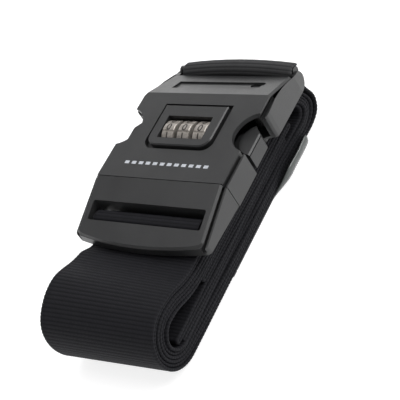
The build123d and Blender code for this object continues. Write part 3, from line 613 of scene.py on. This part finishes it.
def rib_rows(length, rib_start):
    """(distance along, level) of each row of vertices. rib_start is how far on the ribs already are."""
    rows = [(0.0, GROOVE)]
    rib = math.ceil((ROW_MARGIN + rib_start) / RIB_PITCH) - 1
    while True:
        found = [((rib + share) * RIB_PITCH - rib_start, level) for share, level in RIB_ROWS]
        rows += [(s, level) for s, level in found if ROW_MARGIN < s < length - ROW_MARGIN]
        rib += 1
        if found[0][0] > length:
            return rows + [(length, GROOVE)]


def webbing(name, ribbon, inner_columns, drift, rib_start=0.0):
    """A closed strip of ribbed webbing. drift is how far its edges wander sideways, in mm."""
    ring = cross_section(inner_columns)
    rows = rib_rows(ribbon.length, rib_start)
    phases = [random.uniform(0, 2 * math.pi) for _ in DRIFT_WAVES]
    points, strip = [], []
    for s, level in rows:
        y, z, heading = ribbon.at(min(s, ribbon.length))
        out_y, out_z = -math.sin(heading), math.cos(heading)
        wander = sum(share * math.sin(s / wave + phase) for (wave, share), phase in zip(DRIFT_WAVES, phases))
        side_step = drift * min(1.0, s / DRIFT_FADE) * wander
        for x, share, side in ring:
            inset = HALF_WEBBING - abs(x)
            rib = EDGE_RIB_SHARE + (1 - EDGE_RIB_SHARE) * min(1.0, max(0.0, (inset - RIBS_FROM) / RIBS_RISE))
            half = THICKNESS / 2 * share + (RIB_HEIGHT * level * rib if share > 0 else 0.0)
            notch = NOTCH_DEPTH * level * math.copysign(1, x) if inset < NOTCH_BAND else 0.0
            points.append((x + side_step + notch, y + side * half * out_y, z + side * half * out_z))
            strip.append((x, s + rib_start, side))
    faces = []
    for row in range(len(rows) - 1):
        a, b = row * len(ring), (row + 1) * len(ring)
        for k in range(len(ring)):
            n = (k + 1) % len(ring)
            faces.append((a + k, b + k, b + n, a + n))
    faces.append(tuple(range(len(ring))))
    faces.append(tuple(range(len(points) - 1, len(points) - len(ring) - 1, -1)))
    laid = settle(np.array(points))
    mesh = bpy.data.meshes.new(name)
    mesh.from_pydata(place(laid).tolist(), [], faces)
    strip_place = mesh.attributes.new("strip", "FLOAT_VECTOR", "POINT")
    strip_place.data.foreach_set("vector", np.array(strip, np.float32).ravel())
    # painted highlight: how much of the lighter colour each point gets, on the wrap over the end bar
    painted_light_share = smooth(*PAINTED_LIGHT_ABOVE, laid[:, 2]) * smooth(*PAINTED_LIGHT_BEHIND, laid[:, 1])
    painted_light = mesh.attributes.new("painted_light", "FLOAT", "POINT")
    painted_light.data.foreach_set("value", painted_light_share.astype(np.float32))
    mesh.polygons.foreach_set("use_smooth", [True] * (len(faces) - 2) + [False, False])
    mesh.update()
    bm = bmesh.new()
    bm.from_mesh(mesh)
    bmesh.ops.recalc_face_normals(bm, faces=bm.faces)
    bm.to_mesh(mesh)
    bm.free()
    return linked(name, mesh, WEBBING)


ALL_COLUMNS, FEW_COLUMNS = range(-18, 19, 6), (-12, 0, 12)
main_line = main_ribbon()
tail_line = tail_ribbon(main_line.y, main_line.z)
anchor_line = anchor_ribbon()
main_web = webbing("webbing_main", main_line, ALL_COLUMNS, drift=0.35)
tail_web = webbing("webbing_tail", tail_line, FEW_COLUMNS, drift=0.8, rib_start=main_line.length)
anchor_web = webbing("webbing_anchor", anchor_line, ALL_COLUMNS, drift=0.15)

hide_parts("webbing_main_run")
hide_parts("webbing_tail_coil")
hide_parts("webbing_anchor_loop")
# the stretch where the main run bends from the flat layers to its sewn end; the front fold and the bar lie
# outside it
bend_start, bend_end = place([(0, 50.0, 2.0), (0, ANCHOR_Y, 15.0)])
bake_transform(main_web)
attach(tail_web, "tongue_half")
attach(anchor_web, "lock_housing")


# ---------------------------------------------------------------- coil springs: their end points, and meshes of their own
LOCKING_SPRINGS_END = place([(0, 21.4, TOP_Z - 9.2)])[0]
RESET_SPRING_FOOT = place([(18.3, 50.65, 27.65)])[0]
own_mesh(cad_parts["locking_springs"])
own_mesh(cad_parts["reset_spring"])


# ---------------------------------------------------------------- clear pocket film with a flared edge
def film_sheet():
    """Window film; its long right edge isn't sewn down and stands up against the webbing."""
    flat_columns = list(np.linspace(-FILM_HALF, FILM_HALF, FILM_COLUMNS))
    rows = np.linspace(FILM_START, FILM_END, FILM_ROWS)
    points = []
    for y in rows:
        flare = smooth(*FLARE_FROM, y) * smooth(*FLARE_TO, y)
        inner = 1 - FILM_NARROWING * (1 - flare)
        points += [(x * inner, y, FILM_Z) for x in flat_columns]
        for k, (out, rise) in enumerate(FLAP):
            ripple = FLAP_RIPPLE * flare * (k / len(FLAP)) * math.sin(y * RIPPLE_PER_MM + k * RIPPLE_LAG)
            reach = out * (FLAP_FLAT_SHARE + (1 - FLAP_FLAT_SHARE) * flare)
            points.append((FILM_HALF * inner + reach + ripple, y, FILM_Z + rise * flare))
    wide = len(flat_columns) + len(FLAP)
    faces = [(r * wide + c, r * wide + c + 1, (r + 1) * wide + c + 1, (r + 1) * wide + c)
             for r in range(len(rows) - 1) for c in range(wide - 1)]
    mesh = bpy.data.meshes.new("pocket_film")
    mesh.from_pydata(place(points).tolist(), [], faces)
    mesh.polygons.foreach_set("use_smooth", [True] * len(faces))
    # the flap takes the darker copy of the film: painted shade on the standing edge
    piece = linked("pocket_film", mesh, CLEAR, PAINTED_SHADE_FILM)
    first_edge = len(flat_columns) - 1
    on_flap = [int(n % (wide - 1) >= first_edge) for n in range(len(faces))]
    mesh.polygons.foreach_set("material_index", on_flap)
    thick = piece.modifiers.new("thickness", "SOLIDIFY")
    thick.thickness = FILM_THICKNESS * MM
    thick.offset = 0
    return piece


film = film_sheet()
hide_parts("pocket_window")
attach(film, "tongue_half")


# ---------------------------------------------------------------- stitches
def thread_mesh(name, stitches, radius, material, body):
    """One mesh of short rounded thread bars. Each stitch is (start, end, outward normal) in drawing mm."""
    bm = bmesh.new()
    angles = [2 * math.pi * k / THREAD_SIDES for k in range(THREAD_SIDES)]
    for start, end, out in stitches:
        start, end, out = Vector(start), Vector(end), Vector(out).normalized()
        side = (end - start).normalized().cross(out).normalized()
        rings = []
        for t, size, sink in STITCH_PROFILE:
            centre = start.lerp(end, t) - out * (sink * radius)
            spokes = [side * math.cos(a) + out * THREAD_FLATNESS * math.sin(a) for a in angles]
            rings.append([bm.verts.new(centre + spoke * radius * size) for spoke in spokes])
        for first, second in zip(rings, rings[1:]):
            for k in range(THREAD_SIDES):
                n = (k + 1) % THREAD_SIDES
                bm.faces.new((first[k], first[n], second[n], second[k]))
        bm.faces.new(rings[0])
        bm.faces.new(list(reversed(rings[-1])))
    bmesh.ops.recalc_face_normals(bm, faces=bm.faces)
    for face in bm.faces:
        face.smooth = True
    to_row_frame(bm)
    piece = linked(name, mesh_of(bm, name), material)
    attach(piece, body)
    return piece


def stitch_row(start, end, out):
    """Stitches from start to end."""
    start, end = Vector(start), Vector(end)
    count = max(1, round((end - start).length / STITCH_PITCH))
    return [(start.lerp(end, k / count), start.lerp(end, (k + STITCH_FILL) / count), out)
            for k in range(count)]


corners = [(x, SEWN_FACE_Y, z) for x, z in ((-SEWN_HALF_WIDTH, SEWN_LOW_Z), (SEWN_HALF_WIDTH, SEWN_LOW_Z),
                                            (SEWN_HALF_WIDTH, SEWN_TOP_Z), (-SEWN_HALF_WIDTH, SEWN_TOP_Z))]
sewn = []
for first, second in ((0, 1), (1, 2), (2, 3), (3, 0), (0, 2), (1, 3)):
    sewn += stitch_row(corners[first], corners[second], (0, 1, 0))
anchor_stitches = thread_mesh("anchor_stitches", sewn, ANCHOR_THREAD_RADIUS, THREAD, "lock_housing")
sewn = []
for y in TAPE_ROWS:
    sewn += stitch_row((-TAPE_HALF_WIDTH, y, 0.0), (TAPE_HALF_WIDTH, y, 0.0), (0, 0, -1))
pocket_stitches = thread_mesh("pocket_stitches", sewn, POCKET_THREAD_RADIUS, THREAD, "tongue_half")


# ---------------------------------------------------------------- digits on the wheels
def flat_digit(text):
    """A flat digit in mm, centred, cut into narrow bands so that it can be bent."""
    curve = bpy.data.curves.new("digit", "FONT")
    curve.body = text
    curve.align_x = "CENTER"
    curve.align_y = "CENTER"
    curve.size = FONT_SIZE
    curve.offset = DIGIT_WEIGHT
    curve.resolution_u = 6
    holder = bpy.data.objects.new("digit", curve)
    mesh = bpy.data.meshes.new_from_object(holder)
    bpy.data.objects.remove(holder)
    bm = bmesh.new()
    bm.from_mesh(mesh)
    bpy.data.meshes.remove(mesh)
    cuts = math.ceil(DIGIT_HEIGHT / 2 / DIGIT_BAND)
    for k in range(-cuts, cuts + 1):
        bmesh.ops.bisect_plane(bm, geom=bm.verts[:] + bm.edges[:] + bm.faces[:],
                               plane_co=(0, k * DIGIT_BAND, 0), plane_no=(0, 1, 0))
    return bm


def digit_ring(number):
    """All ten digits of one wheel, wrapped round it, 0 on top."""
    radius = DIAL_RADIUS + DIGIT_LIFT
    joined = bmesh.new()
    for value in range(10):
        digit = flat_digit(str(value))
        low = min(v.co.y for v in digit.verts)
        high = max(v.co.y for v in digit.verts)
        for vert in digit.verts:
            angle = math.radians(90 + DIGIT_STEP * value) + (vert.co.y - (low + high) / 2) / DIAL_RADIUS
            vert.co = ((number - 2) * DIAL_PITCH + vert.co.x,
                       DIAL_Y + radius * math.cos(angle), DIAL_Z + radius * math.sin(angle))
        part = mesh_of(digit, "part")
        joined.from_mesh(part)
        bpy.data.meshes.remove(part)
    to_row_frame(joined)
    bmesh.ops.recalc_face_normals(joined, faces=joined.faces)
    name = f"dial_digits_{number}"
    piece = linked(name, mesh_of(joined, name), DIGIT)
    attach(piece, f"dial_{number}")


for wheel in (1, 2, 3):
    digit_ring(wheel)


# ---------------------------------------------------------------- generic printed mark on the lock
def printed_dashes():
    """A plain row of dashes, a little proud of the lock's top."""
    bm = bmesh.new()
    pitch = 2 * DASH_ROW_HALF / DASH_COUNT
    low_y, high_y = DASH_Y - DASH_HALF_HEIGHT, DASH_Y + DASH_HALF_HEIGHT
    for k in range(DASH_COUNT):
        x0, x1 = (-DASH_ROW_HALF + (k + share) * pitch for share in (DASH_FROM, DASH_TO))
        corners = [(x0, low_y), (x1, low_y), (x1, high_y), (x0, high_y)]
        bottom, top = ([bm.verts.new((x, y, z)) for x, y in corners]
                       for z in (TOP_Z - PRINT_SUNK, TOP_Z + PRINT_RAISED))
        bm.faces.new(top)
        bm.faces.new(list(reversed(bottom)))
        for n in range(4):
            bm.faces.new((bottom[n], bottom[(n + 1) % 4], top[(n + 1) % 4], top[n]))
    to_row_frame(bm)
    piece = linked("printed_dashes", mesh_of(bm, "printed_dashes"), PRINT)
    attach(piece, "lock_housing")


printed_dashes()


# ---------------------------------------------------------------- floor
FLOOR_RADIUS, FLOOR_DROP, FLOOR_SIDES = 30.0, 0.0003, 64     # metres
turns = [2 * math.pi * k / FLOOR_SIDES for k in range(FLOOR_SIDES)]
floor_mesh = bpy.data.meshes.new("floor")
floor_mesh.from_pydata([(FLOOR_RADIUS * math.cos(a), FLOOR_RADIUS * math.sin(a), -FLOOR_DROP) for a in turns],
                       [], [tuple(range(FLOOR_SIDES))])
floor = linked("floor", floor_mesh, floor_material())


# ---------------------------------------------------------------- light
BLACK, WHITE = (0.0, 0.0, 0.0), (1.0, 1.0, 1.0)
SKY = ((0.0, WHITE), (0.1, (0.98, 0.98, 0.98)), (0.18, (0.8, 0.8, 0.8)), (0.45, (0.24, 0.24, 0.245)),
       (1.0, (0.5, 0.5, 0.51)))                       # by height above the horizon
# each glow: direction, the cosines where it starts and where it is full, strength
BACK_GLOW = ((-0.63, 0.775, 0.05), (0.80, 0.97), 1.2)       # low behind the lock, seen in the rear panel
RIM_GLOW = ((0.62, 0.47, 0.625), (0.90, 0.985), 5.5)        # on the right, seen in the right-hand chamfers


def glow(tree, direction, towards, cosines, strength):
    """Light from one part of the sky."""
    node = add(tree, "ShaderNodeVectorMath", operation="DOT_PRODUCT")
    tree.links.new(direction, node.inputs[0])
    node.inputs[1].default_value = towards
    start, full = cosines
    return times(tree, ramp(tree, node.outputs["Value"], [(start, BLACK), (full, WHITE)]), strength)


def studio():
    """Even light from all round, white at the horizon, with two glows."""
    world = bpy.data.worlds.new("studio")
    bpy.context.scene.world = world
    world.use_nodes = True
    tree = world.node_tree
    direction = add(tree, "ShaderNodeTexCoord").outputs["Generated"]
    sky = ramp(tree, separate(tree, direction)[2], SKY)
    glows = plus(tree, glow(tree, direction, *BACK_GLOW), glow(tree, direction, *RIM_GLOW))
    background = tree.nodes["Background"]
    tree.links.new(mix(tree, 1.0, sky, glows, blend_type="ADD"), background.inputs["Color"])
    background.inputs["Strength"].default_value = 1.0


def softbox(name, stand, aim, size, power):
    light = bpy.data.lights.new(name, "AREA")
    light.shape = "DISK"
    light.size = size
    light.energy = power
    lamp = bpy.data.objects.new(name, light)
    lamp.location = stand
    lamp.rotation_mode = "QUATERNION"
    lamp.rotation_quaternion = (Vector(aim) - Vector(stand)).to_track_quat("-Z", "Y")
    bpy.context.scene.collection.objects.link(lamp)


studio()
softbox("overhead", (-0.15, 0.15, 1.2), (0, 0, 0.02), size=0.9, power=5.0)


# ---------------------------------------------------------------- camera
CAMERA_AZIMUTH, CAMERA_ELEVATION, CAMERA_ROLL = 53.0, 38.5, 35.2     # degrees
CAMERA_DISTANCE = 0.4675
CAMERA_LENS = 112.0
PIVOT = Vector((0, ORIGIN_SHIFT * MM, TOP_Z * MM))
AIM = Vector((0.004, 0.006, 0.0155))


def add_camera():
    az, el, roll = (math.radians(v) for v in (CAMERA_AZIMUTH, CAMERA_ELEVATION, CAMERA_ROLL))
    away = Vector((math.cos(el) * math.sin(az), -math.cos(el) * math.cos(az), math.sin(el)))
    level_right = Vector((math.cos(az), math.sin(az), 0))
    up = math.sin(roll) * level_right + math.cos(roll) * away.cross(level_right)
    camera_data = bpy.data.cameras.new("camera")
    camera_data.lens = CAMERA_LENS
    camera_data.clip_start = 0.01
    camera_data.clip_end = 100.0
    camera = bpy.data.objects.new("camera", camera_data)
    bpy.context.scene.collection.objects.link(camera)
    camera.location = PIVOT + CAMERA_DISTANCE * away
    forward = (AIM - camera.location).normalized()
    right = forward.cross(up).normalized()
    camera.rotation_mode = "QUATERNION"
    camera.rotation_quaternion = Matrix((right, right.cross(forward), -forward)).transposed().to_quaternion()
    bpy.context.scene.camera = camera


add_camera()
bpy.context.scene.view_settings.view_transform = "Standard"
